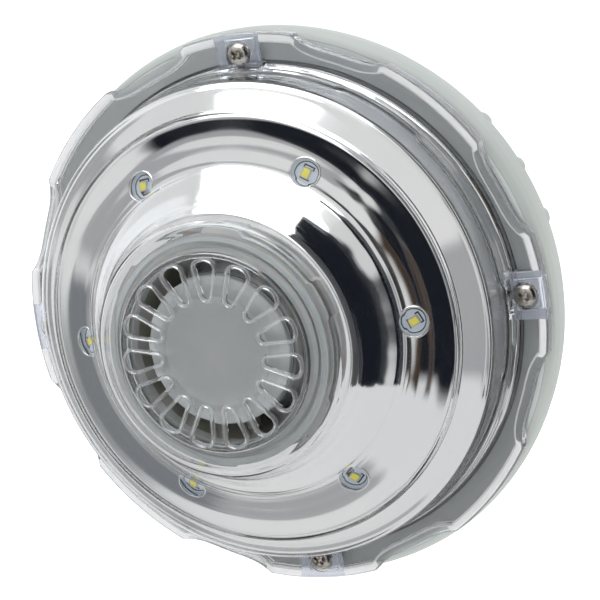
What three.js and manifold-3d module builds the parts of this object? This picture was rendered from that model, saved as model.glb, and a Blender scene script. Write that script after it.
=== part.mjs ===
// Water-powered pool light: a cordless LED light that screws onto a pool's return fitting.
// Water enters at the rear collar, turns a small turbine, passes round the generator pod and
// leaves through the slotted cap in the middle of the clear front lens.
//
// Frame: millimetres, +Z up, the light faces -Y.  The origin is on the light's axis, in the
// plane of the rear collar's seat.  "Forward" is the distance from that plane towards -Y, and
// a clock angle runs clockwise from the top as seen from the front.

import * as THREE from 'three';
import { ConvexGeometry } from 'three/addons/geometries/ConvexGeometry.js';
import { mergeVertices } from 'three/addons/utils/BufferGeometryUtils.js';
import Module from 'manifold-3d';

const wasm = await Module();
wasm.setup();

// ---- driving dimensions ---------------------------------------------------------------

const GAP = 0.3;                    // clearance between neighbouring pieces
const ROUND = 32;                   // facets round the large turned pieces
const POD_ROUND = 24;               // facets round the generator pod's pieces
const SMALL_ROUND = 12;             // facets round the small turned pieces

const LOBES = 8;                    // lobes round the lens flange
const LOBE_RADIUS = 85;
const SCALLOP_HALF_ANGLE = 10.5;    // degrees
const SCALLOP_DEPTH = 3.2;
const LIP_WIDTH = 3;

const FLANGE_BACK = 49.7;           // forward positions of the lens flange
const FLANGE_FRONT = 52;
const LIP_FRONT = 54.7;
const HUB_FRONT = 103;              // foremost point of the lens
const CAP_FRONT = 105.2;            // foremost point of the light
const LENS_WALL = 2.2;
const RISER_RADIUS = 74.4;

const SCREWS = 4;
const SCREW_CIRCLE = 78.8;
const SCREW_SHANK = 1.7;
const SCREW_HEAD = 3.45;
const SCREW_SEAT = LIP_FRONT - 0.6; // bottom of the shallow well round a screw head
const BOSS_WIDTH = 14.5;

const OPENING_RADIUS = 29.9;        // outlet opening in the hub
const CAP_RIM = 31.6;               // the outlet cap's rim, held under the lens
const CAP_RIM_FRONT = 99.8;
const SLOTS = 15;
const SLOT_OUTER = 28;
const SLOT_INNER = 16;
const SLOT_FIRST_ANGLE = 4.5;       // degrees

const LEDS = 6;
const LED_CIRCLE = 52.9;
const LED_FIRST_ANGLE = 30;         // degrees
const LED_FORWARD = 78.5;           // reflector surface on the LED circle
const LED_TILT = 20;                // degrees, the slope of the LED terrace
const LED_HOLE = 4.1;

const SHELL_FRONT = FLANGE_BACK - GAP;
const SHELL_RADIUS = 85.4;
const GASKET_INNER = 74.4;
const GASKET_OUTER = 75.8;
const GRIP_GROUPS = 4;              // groups of three grip ribs
const GRIP_FIRST_ANGLE = 65;        // degrees, the middle of the first group
const GRIP_STEP = 12;

const COLLAR_OUTER = 31;
const COLLAR_BORE = 25;
const SEAL_SEAT = 14.3;             // forward position of the seat inside the collar
const TUBE_SEAT = 16.7;             // floor of the socket for the water tube

const TUBE_OUTER = 30;
const TUBE_BORE = 27.8;
const TUBE_THROAT = 26.8;           // narrower bore round the turbine
const TUBE_BACK = 19.3;
const TUBE_FRONT = 98.2;

const POD_RADIUS = 22.3;
const POD_WALL = 2.6;
const POD_FRONT = 99.9;
const SHAFT_RADIUS = 1.5;
const BLADES = 8;
const VANES = 6;
const CLAWS = 5;

// ---- colours --------------------------------------------------------------------------

const finish = {
  clear: { color: 0xdfe9ea, roughness: 0.05, metalness: 0.0, transparent: true, opacity: 0.35 },
  chrome: { color: 0xd8dadb, roughness: 0.06, metalness: 1.0 },
  shell: { color: 0xc6cac4, roughness: 0.45, metalness: 0.0 },
  pale: { color: 0xb4babb, roughness: 0.5, metalness: 0.0 },
  dark: { color: 0x2b2c28, roughness: 0.6, metalness: 0.0 },
  steel: { color: 0x9b968c, roughness: 0.3, metalness: 1.0 },
  rubber: { color: 0x1d1e1f, roughness: 0.8, metalness: 0.0 },
  silicone: { color: 0xc9ccca, roughness: 0.6, metalness: 0.0 },
  board: { color: 0xe6e8e6, roughness: 0.4, metalness: 0.0 },
  phosphor: { color: 0xe8dc4a, roughness: 0.4, metalness: 0.0 },
  copper: { color: 0xb0622f, roughness: 0.35, metalness: 1.0 },
  brass: { color: 0xb59a4c, roughness: 0.35, metalness: 1.0 },
  magnet: { color: 0x3a3b3e, roughness: 0.5, metalness: 0.6 },
  lead: { color: 0xeeeeec, roughness: 0.5, metalness: 0.0 },
};

// ---- geometry helpers -----------------------------------------------------------------

const radians = (degrees) => degrees * Math.PI / 180;

// Volume enclosed by an indexed triangle mesh, negative when its faces point inwards.
function signedVolume(position, index) {
  const a = new THREE.Vector3();
  const b = new THREE.Vector3();
  const c = new THREE.Vector3();
  let sum = 0;
  for (let i = 0; i < index.length; i += 3) {
    a.fromBufferAttribute(position, index[i]);
    b.fromBufferAttribute(position, index[i + 1]);
    c.fromBufferAttribute(position, index[i + 2]);
    sum += a.dot(b.cross(c)) / 6;
  }
  return sum;
}

// Joins shared vertices, drops collapsed triangles and turns the faces outwards.
function closed(geometry) {
  const bare = geometry.index ? geometry : geometry.clone();
  bare.deleteAttribute('normal');
  bare.deleteAttribute('uv');
  const merged = mergeVertices(bare, 1e-4);
  const kept = [];
  const source = merged.index.array;
  for (let i = 0; i < source.length; i += 3) {
    const [a, b, c] = [source[i], source[i + 1], source[i + 2]];
    if (a !== b && b !== c && c !== a) kept.push(a, b, c);
  }
  if (signedVolume(merged.getAttribute('position'), kept) < 0) kept.reverse();
  merged.setIndex(kept);
  return merged;
}

function toSolid(geometry) {
  const skin = closed(geometry);
  return new wasm.Manifold(new wasm.Mesh({
    numProp: 3,
    vertProperties: new Float32Array(skin.getAttribute('position').array),
    triVerts: new Uint32Array(skin.index.array),
  }));
}

function toGeometry(solid) {
  const mesh = solid.getMesh();
  const geometry = new THREE.BufferGeometry();
  geometry.setAttribute('position', new THREE.BufferAttribute(mesh.vertProperties, 3));
  geometry.setIndex(new THREE.BufferAttribute(mesh.triVerts, 1));
  return geometry;
}

const join = (...parts) => toGeometry(parts.map(toSolid).reduce((all, one) => all.add(one)));

function cut(body, ...tools) {
  return toGeometry(tools.map(toSolid).reduce((left, tool) => left.subtract(tool), toSolid(body)));
}

// A turned piece: the outline's points are [radius, forward], and it closes on itself.
function turned(outline, facets = ROUND) {
  const points = outline.map(([radius, forward]) => new THREE.Vector2(radius, -forward));
  points.push(points[0].clone());
  return closed(new THREE.LatheGeometry(points, facets));
}

const ring = (inner, outer, back, front, facets = ROUND) =>
  turned([[inner, back], [outer, back], [outer, front], [inner, front]], facets);

const rod = (radius, back, front, facets = SMALL_ROUND) =>
  turned([[0, back], [radius, back], [radius, front], [0, front]], facets);

// A ring of round section.
function oRing(radius, thickness, forward, facets = ROUND) {
  const outline = [];
  const corners = 6;
  for (let i = 0; i < corners; i += 1) {
    const angle = 2 * Math.PI * i / corners;
    outline.push([radius + thickness / 2 * Math.cos(angle), forward + thickness / 2 * Math.sin(angle)]);
  }
  return turned(outline, facets);
}

// A flat outline, drawn as seen from the front, given thickness along the light's axis.
function slab(shape, back, front, curveSegments = 2) {
  const geometry = new THREE.ExtrudeGeometry(shape, {
    depth: front - back, bevelEnabled: false, curveSegments,
  });
  geometry.rotateX(Math.PI / 2);
  geometry.translate(0, -back, 0);
  return closed(geometry);
}

// A block standing at the top of the light, between two radii.
function block(width, inner, outer, back, front) {
  const geometry = new THREE.BoxGeometry(width, front - back, outer - inner);
  geometry.translate(0, -(back + front) / 2, (inner + outer) / 2);
  return closed(geometry);
}

// Moves a piece made on the light's axis out to a radius and round to a clock angle.
function placed(geometry, angle, radius = 0) {
  const copy = geometry.clone();
  copy.translate(0, 0, radius);
  copy.rotateY(radians(angle));
  return copy;
}

function around(count, first = 0) {
  return Array.from({ length: count }, (_, i) => first + 360 * i / count);
}

const light = new THREE.Group();

function add(name, geometry, look) {
  const mesh = new THREE.Mesh(geometry, new THREE.MeshStandardMaterial(finish[look]));
  geometry.computeVertexNormals();
  mesh.name = name;
  light.add(mesh);
}

// ---- clear front lens and its slotted cap ----------------------------------------------

// The wavy flange outline: arcs on the lobes, flat-bottomed hollows with steep ends between them.
function flangeOutline(inset) {
  const steps = 8;
  const steepness = 3.5;
  const outline = new THREE.Shape();
  for (let i = 0; i < LOBES; i += 1) {
    const hollow = 360 * (i + 0.5) / LOBES;
    outline.absarc(
      0, 0, LOBE_RADIUS - inset,
      radians(hollow + SCALLOP_HALF_ANGLE - 360 / LOBES), radians(hollow - SCALLOP_HALF_ANGLE),
    );
    for (let step = 1; step < steps; step += 1) {
      const share = 2 * step / steps - 1;
      const radius = LOBE_RADIUS - inset - SCALLOP_DEPTH * (1 - Math.abs(share) ** steepness);
      const angle = radians(hollow + SCALLOP_HALF_ANGLE * share);
      outline.lineTo(radius * Math.cos(angle), radius * Math.sin(angle));
    }
  }
  return outline;
}

// A circle to cut from an outline, as one arc for each lobe.
function circlePath(radius) {
  const path = new THREE.Path();
  const step = 2 * Math.PI / LOBES;
  for (let i = LOBES; i > 0; i -= 1) path.absarc(0, 0, radius, i * step, (i - 1) * step, true);
  return path;
}

// The domed wall of the lens, from the outlet opening out to the riser's foot.
function lensWall() {
  const outer = [
    [OPENING_RADIUS, HUB_FRONT - 0.8], [32, HUB_FRONT], [35, HUB_FRONT - 0.7], [38.1, HUB_FRONT - 3.2],
    [40.8, 92.7], [42.9, 89.8], [46.2, 86.2], [49.8, 82.6], [52.2, 80.9], [57, 78.9], [65.3, 76.8],
    [66, 74.9], [72.4, 71.1], [73.4, 68.9],
    [73.6, 60.2], [RISER_RADIUS, 59.4], [RISER_RADIUS + 0.6, FLANGE_BACK],
  ];
  const inner = [
    [72.2, FLANGE_BACK], [72.2, 68.9], [65.2, 73.2], [64.5, 75.5], [58.6, 76.95], [54.2, 78.5],
    [50.6, 80.05], [49.2, 81.3], [44.7, 85.7], [41.2, 89.8], [39, 93.6], [37, 98.8],
    [34, HUB_FRONT - LENS_WALL - 0.7], [OPENING_RADIUS, HUB_FRONT - LENS_WALL - 0.7],
  ];
  return turned([...outer, ...inner]);
}

function lens() {
  const plate = flangeOutline(0);
  plate.holes.push(circlePath(RISER_RADIUS - 1));
  const lip = flangeOutline(0);
  lip.holes.push(new THREE.Path(flangeOutline(LIP_WIDTH).getPoints(2).reverse()));
  const boss = block(BOSS_WIDTH, RISER_RADIUS - 1, LOBE_RADIUS - 1, FLANGE_BACK + 1, LIP_FRONT);
  const hole = placed(rod(SCREW_SHANK + GAP, FLANGE_BACK - 1, LIP_FRONT + 1), 0, SCREW_CIRCLE);
  const well = placed(rod(SCREW_HEAD + 0.75, SCREW_SEAT, LIP_FRONT + 1), 0, SCREW_CIRCLE);
  const core = bossCore();
  const body = join(
    lensWall(),
    slab(plate, FLANGE_BACK, FLANGE_FRONT),
    slab(lip, FLANGE_FRONT - 1, LIP_FRONT),
    ...around(SCREWS).map((angle) => placed(boss, angle)),
  );
  const tools = around(SCREWS).flatMap((angle) => [core, hole, well].map((tool) => placed(tool, angle)));
  return cut(body, ...tools);
}

// The hollow moulded behind a screw boss, round the post that the screw passes through.
function bossCore() {
  const wall = 2.2;
  const postRadius = 3.1;
  const hollow = block(
    BOSS_WIDTH - 2 * wall, RISER_RADIUS + 0.8, LOBE_RADIUS - 1.8, FLANGE_BACK - 1, LIP_FRONT - wall,
  );
  return cut(hollow, placed(rod(postRadius, FLANGE_BACK - 2, LIP_FRONT), 0, SCREW_CIRCLE));
}

// One slot outline, wide at the rim and narrow towards the middle, with rounded ends.
function slotOutline() {
  const wide = 3.3;
  const narrow = 1.7;
  const slot = new THREE.Shape();
  slot.moveTo(-narrow, SLOT_INNER + narrow);
  slot.absarc(0, SLOT_INNER + narrow, narrow, Math.PI, 2 * Math.PI);
  slot.lineTo(wide, SLOT_OUTER - wide);
  slot.quadraticCurveTo(wide, SLOT_OUTER, 0, SLOT_OUTER);
  slot.quadraticCurveTo(-wide, SLOT_OUTER, -wide, SLOT_OUTER - wide);
  return slot;
}

// A clear cup: its face has the slots, and its rim is held between the tube and the lens.
function outletGrille() {
  const thickness = 3.4;
  const back = CAP_FRONT - thickness;
  const side = OPENING_RADIUS - GAP;
  const cup = turned([
    [0, back], [SLOT_OUTER + 0.1, back], [SLOT_OUTER + 0.1, TUBE_FRONT + GAP],
    [CAP_RIM, TUBE_FRONT + GAP], [CAP_RIM, CAP_RIM_FRONT], [side, CAP_RIM_FRONT],
    [side, CAP_FRONT - 1.4], [side - 1, CAP_FRONT], [0, CAP_FRONT],
  ]);
  const slot = slab(slotOutline(), back - 1, CAP_FRONT + 1);
  return cut(cup, ...around(SLOTS, SLOT_FIRST_ANGLE).map((angle) => placed(slot, angle)));
}

// ---- reflector and LEDs -----------------------------------------------------------------

function ledHole() {
  const hole = new THREE.CylinderGeometry(LED_HOLE, LED_HOLE, 10, 12);
  hole.rotateX(-radians(LED_TILT));
  hole.translate(0, -LED_FORWARD, LED_CIRCLE);
  return closed(hole);
}

// A steep dome round the hub, a hollowed terrace for the LEDs, a step, a flared ring and a skirt.
function reflector() {
  const front = [
    [TUBE_OUTER + 2 * GAP, 93], [38.2, 93], [40.6, 89.4], [44.2, 85.2], [48.5, 81.3], [48.9, 80.8],
    [49.8, 80], [54, 78.1], [58.5, 76.5], [64, 75.2], [64.6, 72.9], [71, 68.7], [71.8, 67.6],
    [71.8, FLANGE_BACK],
  ];
  const back = [
    [70.3, FLANGE_BACK], [70.3, 67.4], [63.3, 71.6], [62.9, 73.9], [53.4, 76.6], [49.4, 78.4],
    [47.4, 80.3], [43.1, 84.2], [39.4, 88.6], [37.4, 91.5], [TUBE_OUTER + 2 * GAP, 91.5],
  ];
  const hole = ledHole();
  return cut(turned([...front, ...back]), ...around(LEDS, LED_FIRST_ANGLE).map((a) => placed(hole, a)));
}

// A small piece lying square to the LED terrace, a given depth behind the reflector's face.
function onTerrace(geometry, depth, angle) {
  const copy = geometry.clone();
  copy.translate(0, depth, 0);
  copy.rotateX(-radians(LED_TILT));
  copy.translate(0, -LED_FORWARD, LED_CIRCLE);
  return closed(placed(copy, angle));
}

function addLeds() {
  const boardDepth = 2.6;
  const boardThickness = 1.2;
  const chipHeight = 0.9;
  const board = new THREE.CylinderGeometry(4.8, 4.8, boardThickness, SMALL_ROUND);
  const chip = new THREE.BoxGeometry(3.5, chipHeight, 2.8);
  const chipDepth = boardDepth - (boardThickness + chipHeight) / 2 - GAP;
  around(LEDS, LED_FIRST_ANGLE).forEach((angle, i) => {
    add(`led_board_${i + 1}`, onTerrace(board, boardDepth, angle), 'board');
    add(`led_chip_${i + 1}`, onTerrace(chip, chipDepth, angle), 'phosphor');
  });
  add('led_harness', oRing(51.8, 1.6, 72.4), 'lead');
}

// ---- rear shell ---------------------------------------------------------------------------

const shellOuter = [
  [58, 14.4], [70, 17.5], [77, 22], [81.2, 28], [83.7, 35], [85.1, 41.5],
  [SHELL_RADIUS, 45], [84.8, 48], [83, SHELL_FRONT],
];

function rearShell() {
  const groove = { inner: GASKET_INNER - GAP, outer: GASKET_OUTER + GAP, depth: 1.6 };
  const outline = [
    [COLLAR_BORE, 0], [COLLAR_OUTER, 0], [COLLAR_OUTER, 11], [33, 13],
    ...shellOuter,
    [groove.outer, SHELL_FRONT], [groove.outer, SHELL_FRONT - groove.depth],
    [groove.inner, SHELL_FRONT - groove.depth], [groove.inner, SHELL_FRONT],
    [69, SHELL_FRONT], [69, SHELL_FRONT - 3.6], [82.5, SHELL_FRONT - 3.6],
    [82.2, 41.6], [78.8, 29.3], [69, 20], [33.2, TUBE_SEAT], [33.2, 25], [TUBE_OUTER + GAP, 25],
    [TUBE_OUTER + GAP, TUBE_SEAT],
    [20.5, TUBE_SEAT], [20.5, SEAL_SEAT], [COLLAR_BORE, SEAL_SEAT],
  ];
  const post = placed(rod(3.5, 33.5, SHELL_FRONT - 2), 0, SCREW_CIRCLE);
  const pilot = placed(rod(SCREW_SHANK + GAP, 36, FLANGE_BACK), 0, SCREW_CIRCLE);
  const middles = around(GRIP_GROUPS, GRIP_FIRST_ANGLE);
  const ribAngles = middles.flatMap((middle) => [middle - GRIP_STEP, middle, middle + GRIP_STEP]);
  const ribs = ribAngles.map((angle) => placed(gripRib(), angle));
  const body = join(turned(outline), ...around(SCREWS).map((angle) => placed(post, angle)), ...ribs);
  return cut(body, ...around(SCREWS).map((angle) => placed(pilot, angle)));
}

// A raised rib with sloping sides on the rear half of the side wall, for a wet hand to grip.
function gripRib() {
  const proud = 1;
  const sunk = 0.3;
  const halfFoot = 3;
  const halfCrest = 1.2;
  const spine = [[77, 22.6], [81, 28], [83.2, 34.4]];
  const corners = spine.flatMap(([radius, forward]) => [
    new THREE.Vector3(-halfFoot, -forward, radius - sunk),
    new THREE.Vector3(-halfCrest, -forward, radius + proud),
    new THREE.Vector3(halfCrest, -forward, radius + proud),
    new THREE.Vector3(halfFoot, -forward, radius - sunk),
  ]);
  return closed(new ConvexGeometry(corners));
}

function addFasteners() {
  const seat = SCREW_SEAT + GAP;
  const crown = seat + 2.3;
  const profile = [
    [0, 38.5], [0.6, 38.8], [SCREW_SHANK, 41.5], [SCREW_SHANK, seat], [SCREW_HEAD, seat],
    [SCREW_HEAD, seat + 0.9], [2.7, seat + 1.8], [1.4, seat + 2.2], [0, crown],
  ];
  const slotWidth = 0.8;
  const slotDepth = 1.2;
  const slotReach = 1.9;
  const across = new THREE.BoxGeometry(2 * slotReach, 2 * slotDepth, slotWidth);
  const upright = new THREE.BoxGeometry(slotWidth, 2 * slotDepth, 2 * slotReach);
  [across, upright].forEach((slot) => slot.translate(0, -crown, 0));
  const screw = cut(turned(profile, SMALL_ROUND), across, upright);
  ['top', 'right', 'bottom', 'left'].forEach((place, i) => {
    add(`lens_screw_${place}`, placed(screw, i * 90, SCREW_CIRCLE), 'steel');
  });
}

// ---- water path -----------------------------------------------------------------------------

const leadForward = 84;             // where the lead leaves the pod and crosses the water way
const leadRadius = 1.1;
const LEAD_ANGLE = 180;

function radialRod(radius, inner, outer, forward) {
  const geometry = new THREE.CylinderGeometry(radius, radius, outer - inner, SMALL_ROUND);
  geometry.rotateX(Math.PI / 2);
  geometry.translate(0, -forward, (inner + outer) / 2);
  return placed(closed(geometry), LEAD_ANGLE);
}

function waterTube() {
  const shoulder = 45.7;
  const tube = turned([
    [TUBE_THROAT, TUBE_BACK], [TUBE_OUTER, TUBE_BACK], [TUBE_OUTER, TUBE_FRONT],
    [TUBE_BORE, TUBE_FRONT], [TUBE_BORE, shoulder], [TUBE_THROAT, shoulder],
  ]);
  return cut(tube, radialRod(leadRadius + GAP, TUBE_THROAT - 2, TUBE_OUTER + 2, leadForward));
}

// Six straightening vanes between two rings carry the generator pod in the tube.
function flowGuide() {
  const back = 46;
  const ringBack = 56;
  const front = 64;
  const vane = block(2, POD_RADIUS + 2 * GAP, TUBE_BORE - GAP - 1, ringBack + 0.5, front - 0.5);
  return join(
    ring(TUBE_BORE - GAP - 1.4, TUBE_BORE - GAP, back, front),
    ring(POD_RADIUS + GAP, POD_RADIUS + GAP + 1.2, ringBack, front, POD_ROUND),
    ...around(VANES, 30).map((angle) => placed(vane, angle)),
  );
}

function turbineWheel() {
  const hub = turned([
    [SHAFT_RADIUS + GAP, 23], [5, 23], [7, 25], [7, 42], [SHAFT_RADIUS + GAP, 42],
  ], POD_ROUND);
  const root = 5.9;
  const tip = TUBE_THROAT - 1.3;
  const thickness = 1.6;
  const chord = 15;
  const twist = 35;
  const blade = new THREE.BoxGeometry(thickness, chord, tip - root);
  blade.rotateZ(radians(twist));
  blade.translate(0, -32.5, (tip + root) / 2);
  return join(hub, ...around(BLADES).map((angle) => placed(closed(blade), angle)));
}

function addWaterPath() {
  add('water_tube', waterTube(), 'dark');
  add('grille_retainer', ring(TUBE_OUTER + GAP, 35.4, 94.9, TUBE_FRONT - 0.2), 'pale');
  add('hub_gasket', ring(CAP_RIM + GAP, 34.2, TUBE_FRONT + GAP, CAP_RIM_FRONT - 0.2), 'silicone');
  add('tube_o_ring', oRing(28.6, 2, 18), 'rubber');
  add('inlet_seal', ring(20.8, COLLAR_BORE - GAP, 11.5, SEAL_SEAT - GAP), 'rubber');
  add('flow_guide', flowGuide(), 'pale');
  add('lead_conduit', cut(
    radialRod(2.4, POD_RADIUS + GAP, TUBE_BORE - 2 * GAP, leadForward),
    radialRod(leadRadius + GAP, POD_RADIUS - 2, TUBE_BORE + 2, leadForward),
  ), 'dark');
}

// ---- generator pod --------------------------------------------------------------------------

function podHousing() {
  const inside = POD_RADIUS - POD_WALL;
  const shell = turned([
    [3.2, 45.2], [8, 45.2], [16.5, 47.8], [20.2, 51.2], [POD_RADIUS, 55.6], [POD_RADIUS, 94.2],
    [inside, 94.2], [inside, 56], [18.6, 52.2], [15.6, 49.6], [8, 47.6], [3.2, 47.6],
  ], POD_ROUND);
  return cut(shell, radialRod(leadRadius + GAP, inside - 2, POD_RADIUS + 1, leadForward));
}

function podCap() {
  return turned([
    [18, 92], [19.4, 92], [19.4, 96.3], [POD_RADIUS, 96.3], [POD_RADIUS, POD_FRONT - 1],
    [POD_RADIUS - 2.5, POD_FRONT], [0, POD_FRONT], [0, POD_FRONT - 2], [18, POD_FRONT - 2],
  ], POD_ROUND);
}

function clawPole(radius, plateBack, plateFront, clawBack, clawFront, first) {
  const claw = block(4, 9.5, 10.5, clawBack, clawFront);
  const plate = ring(9.6, radius, plateBack, plateFront, POD_ROUND);
  return join(plate, ...around(CLAWS, first).map((angle) => placed(claw, angle)));
}

function bobbin() {
  return turned([
    [11.1, 54.3], [18.8, 54.3], [18.8, 55.3], [12.1, 55.3], [12.1, 67.9], [18.8, 67.9],
    [18.8, 68.9], [11.1, 68.9],
  ], POD_ROUND);
}

// The front bearing plate, with two posts that carry the rectifier board.
const boardPostRadius = 12.5;

function bearingPlate() {
  const post = rod(2.4, 73.5, 77.7);
  const pilot = rod(1.3, 75, 78);
  const posts = [90, 270].map((angle) => placed(post, angle, boardPostRadius));
  const pilots = [90, 270].map((angle) => placed(pilot, angle, boardPostRadius));
  return cut(join(ring(3.2, 19.4, 72.2, 74.6, POD_ROUND), ...posts), ...pilots);
}

function addStator() {
  add('stator_bobbin', bobbin(), 'dark');
  add('stator_coil', ring(12.4, 18.3, 55.6, 67.6, POD_ROUND), 'copper');
  add('claw_pole_rear', clawPole(18.2, 52.7, 54, 53.5, 67, 0), 'steel');
  add('claw_pole_front', clawPole(19.2, 69.2, 70.6, 56, 70, 36), 'steel');
}

function addElectronics() {
  const holes = [90, 270].map((angle) => placed(rod(1.5, 77, 81), angle, boardPostRadius));
  add('rectifier_board', cut(rod(17, 78, 79.6, POD_ROUND), ...holes), 'board');
  const screw = turned([
    [0, 75.6], [1, 75.9], [1, 79.9], [2.2, 79.9], [2.2, 80.8], [1.4, 81.3], [0, 81.3],
  ], SMALL_ROUND);
  [90, 270].forEach((angle, i) => {
    add(`board_screw_${i + 1}`, placed(screw, angle, boardPostRadius), 'steel');
  });
  add('smoothing_capacitor', placed(rod(5, 79.9, 91), 0, 8), 'dark');
  add('rectifier_chip', closed(new THREE.BoxGeometry(7, 2.4, 6).translate(0, -81.1, -5)), 'dark');
  add('led_lead', ledLead(), 'lead');
}

// The two-core lead from the rectifier board, through the conduit, to the LED harness.
function ledLead() {
  const route = [
    [12.5, 79.9], [12.6, 82.2], [14.6, 84], [18, leadForward], [26, leadForward], [33, leadForward],
    [37, 82.6], [42, 77.4], [46, 73.4], [49.4, 72.4],
  ];
  const points = route.map(([radius, forward]) => new THREE.Vector3(0, -forward, -radius));
  const section = new THREE.Shape();
  section.absarc(0, 0, leadRadius, 0, 2 * Math.PI);
  return closed(new THREE.ExtrudeGeometry(section, {
    steps: 20, curveSegments: 3, extrudePath: new THREE.CatmullRomCurve3(points),
  }));
}

function addPod() {
  add('generator_housing', podHousing(), 'pale');
  add('generator_cap', podCap(), 'pale');
  add('pod_seal', ring(19.8, POD_RADIUS - 0.2, 94.5, 96, POD_ROUND), 'rubber');
  add('bearing_plate', bearingPlate(), 'pale');
  add('rear_bushing', turned([
    [SHAFT_RADIUS + GAP, 43.4], [4.6, 43.4], [4.6, 44.9], [2.9, 44.9], [2.9, 49.2],
    [SHAFT_RADIUS + GAP, 49.2],
  ], SMALL_ROUND), 'brass');
  add('front_bushing', ring(SHAFT_RADIUS + GAP, 2.9, 71.4, 75.2, SMALL_ROUND), 'brass');
  add('shaft_seal', ring(SHAFT_RADIUS + GAP, 4.4, 49.5, 51.2, SMALL_ROUND), 'rubber');
}

// ---- rotor: everything that turns with the water --------------------------------------------

function addRotor() {
  add('turbine_wheel', turbineWheel(), 'pale');
  add('rotor_shaft', rod(SHAFT_RADIUS, 20.6, 74.6), 'steel');
  add('magnet_hub', ring(SHAFT_RADIUS + GAP, 4.4, 53.4, 69.6, SMALL_ROUND), 'dark');
  add('ring_magnet', ring(4.7, 8.9, 54, 69, POD_ROUND), 'magnet');
  add('thrust_washer', ring(SHAFT_RADIUS + GAP, 3.8, 42.3, 43.1, SMALL_ROUND), 'steel');
  add('shaft_clip', ring(SHAFT_RADIUS + GAP, 3.6, 21.8, 22.7, SMALL_ROUND), 'steel');
}

// ---- assembly ---------------------------------------------------------------------------------

add('front_lens', lens(), 'clear');
add('outlet_grille', outletGrille(), 'clear');
add('reflector', reflector(), 'chrome');
addLeds();
add('lens_gasket', ring(GASKET_INNER, GASKET_OUTER, SHELL_FRONT - 1.3, SHELL_FRONT), 'rubber');
add('rear_shell', rearShell(), 'shell');
addFasteners();
addWaterPath();
addPod();
addStator();
addElectronics();
addRotor();

export default light;
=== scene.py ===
"""Looks of a water-powered pool light: fine meshes, materials, studio and camera.

Sizes are in millimetres until a point is made.  A point is given by its radius from the light's
axis, its distance forward of the rear collar's seat, and its clock angle seen from the front.
"""
import math

import bpy
import bmesh
from mathutils import Matrix, Vector


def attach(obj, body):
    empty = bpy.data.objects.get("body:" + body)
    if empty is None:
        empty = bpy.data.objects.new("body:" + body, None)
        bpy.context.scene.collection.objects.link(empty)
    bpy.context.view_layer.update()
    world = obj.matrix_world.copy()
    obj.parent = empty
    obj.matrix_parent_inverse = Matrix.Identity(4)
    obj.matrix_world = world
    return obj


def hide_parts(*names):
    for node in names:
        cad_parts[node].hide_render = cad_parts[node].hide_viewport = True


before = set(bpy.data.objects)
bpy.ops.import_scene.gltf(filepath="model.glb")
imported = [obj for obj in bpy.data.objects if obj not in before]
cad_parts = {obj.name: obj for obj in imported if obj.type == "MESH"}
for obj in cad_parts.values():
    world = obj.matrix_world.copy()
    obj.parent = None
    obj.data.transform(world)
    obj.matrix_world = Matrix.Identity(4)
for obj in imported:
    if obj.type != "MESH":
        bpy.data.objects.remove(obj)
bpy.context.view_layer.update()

MM = 0.001
ROUND = 256                 # facets round the large turned pieces
SMALL_ROUND = 64
SHARP = math.radians(38)    # edges sharper than this stay crisp
MERGED = 0.01               # corners closer than this become one
ARC_STEPS = 5               # stretches in the arc that rounds a corner of an outline

LOBES = 8                   # lobes round the lens flange
LOBE_RADIUS = 85.0
SCALLOP_DEPTH = 3.2         # the hollows between the lobes
SCALLOP_HALF = 10.5         # degrees
LIP_WIDTH = 3.0
FLANGE_BACK = 49.7
FLANGE_FRONT = 52.0
LIP_FRONT = 54.7
RISER_FOOT = 75.0
LEDGE_FIRST = 37.0          # clock angle of the first dip in the riser's ledge
LEDGE_HALF = 12.0           # degrees
LEDGE_SLOPE = 2.5

SCREWS = 4                  # lens screws, each in a block on the flange
SCREW_CIRCLE = 78.8
BOSS_HALF = 7.25
BOSS_RIM = 84.6

OPENING_RADIUS = 29.9
SLOTS = 15
SLOT_INNER = 16.0
SLOT_FIRST = 4.5            # clock angle of the first slot
SLOT_OUTER = 28.0
CAP_FACE = 104.15           # flat front of the cap, behind the slots' beads
SLOT_WIDE = 3.3             # half widths of a slot at its two ends
SLOT_NARROW = 1.7

LEDS = 6
LED_FIRST = 30.0
LED_CIRCLE = 52.9
LED_FORWARD = 78.5          # of the terrace, at LED_CIRCLE
LED_TILT = 20.0
LED_TURNS = (0.0, -25.0, -15.0, 0.0, -20.0, 20.0)   # each board sits a little twisted

SHELL_FRONT = 49.4
GRIP_GROUPS = 4             # groups of three grip ribs
GRIP_FIRST = 65.0           # clock angle of the middle of the first group
GRIP_STEP = 12.0            # degrees between its ribs


# ---- points and outlines ----------------------------------------------------------------

def point(radius, forward, angle):
    turn = math.radians(angle)
    return Vector((radius * math.sin(turn), -forward, radius * math.cos(turn))) * MM


def smooth_step(value):
    value = min(1.0, max(0.0, value))
    return value * value * (3 - 2 * value)


def nearest_turn(angle, count, first=0.0):
    """Degrees from the nearest of count evenly spaced angles, and that angle."""
    step = 360.0 / count
    nearest = first + step * round((angle - first) / step)
    return angle - nearest, nearest


def corner_arc(before, here, after, radius):
    """Points of the arc that rounds the corner at here."""
    back = before - here
    onward = after - here
    inside = back.angle(onward)
    if inside > math.radians(179.5) or radius <= 0:
        return [here]
    reach = min(radius / math.tan(inside / 2), 0.48 * back.length, 0.48 * onward.length)
    radius = reach * math.tan(inside / 2)
    inward = (back.normalized() + onward.normalized()).normalized()
    middle = here + inward * (radius / math.sin(inside / 2))
    arm = here + back.normalized() * reach - middle
    side = 1 if arm.cross(onward) > 0 else -1
    turn = math.pi - inside
    points = []
    for step in range(ARC_STEPS + 1):
        angle = side * turn * step / ARC_STEPS
        points.append(middle + Matrix.Rotation(angle, 2) @ arm)
    return points


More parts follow.
